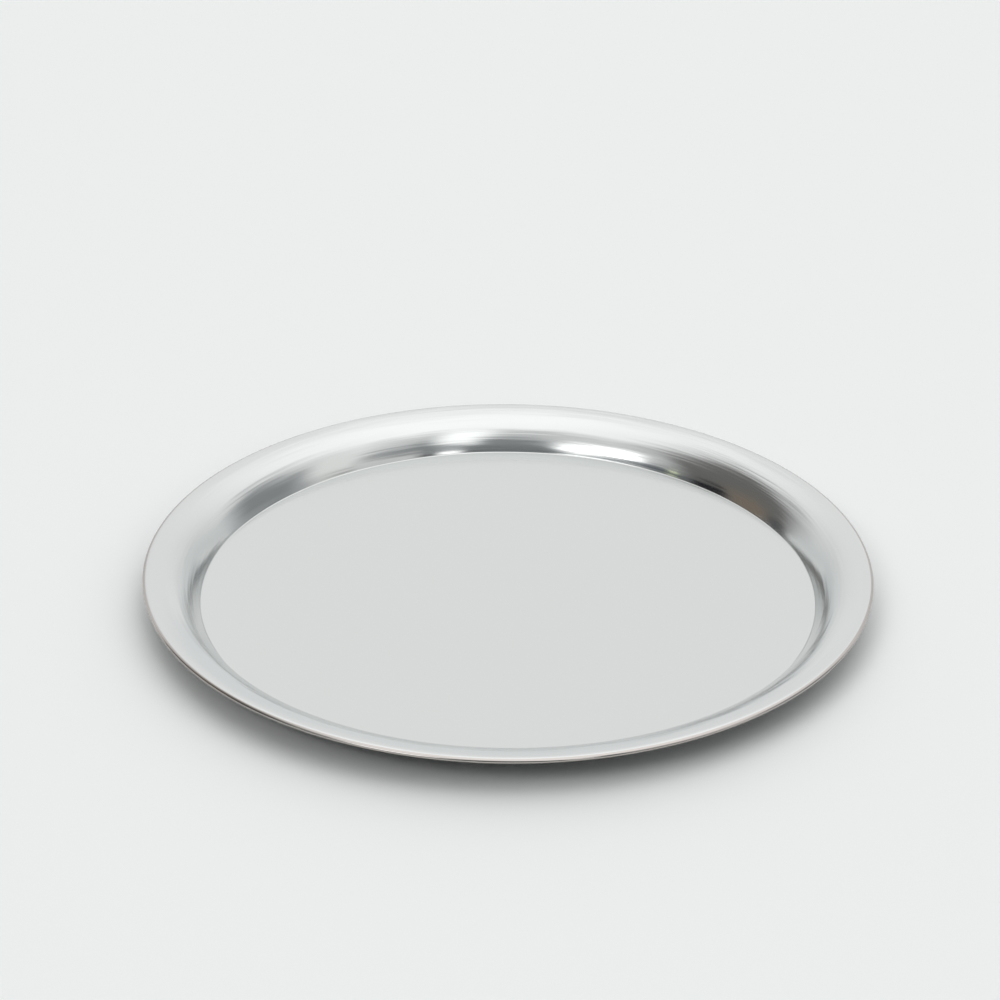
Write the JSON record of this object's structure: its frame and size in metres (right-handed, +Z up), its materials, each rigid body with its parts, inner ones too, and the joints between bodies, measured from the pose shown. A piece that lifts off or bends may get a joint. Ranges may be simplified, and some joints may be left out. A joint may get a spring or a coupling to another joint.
{
  "type": "serving tray",
  "caption": "Round flat-bottomed serving tray with a low bell-flared rim and a folded-under edge, pressed from brushed stainless steel sheet.",
  "frame": {"origin": "centre of the flat underside, on the surface that the tray stands on", "axes": "+Z up, along the tray's axis of revolution; +X and +Y are any two square directions across the round floor, with -Y towards the camera of the picture"},
  "size_m": [0.35, 0.35, 0.0164],
  "materials": {
    "brushed_steel": "satin, brushed in circles"
  },
  "bodies": {
    "root": {"tray_pressing": "brushed_steel"}
  },
  "joints": []
}
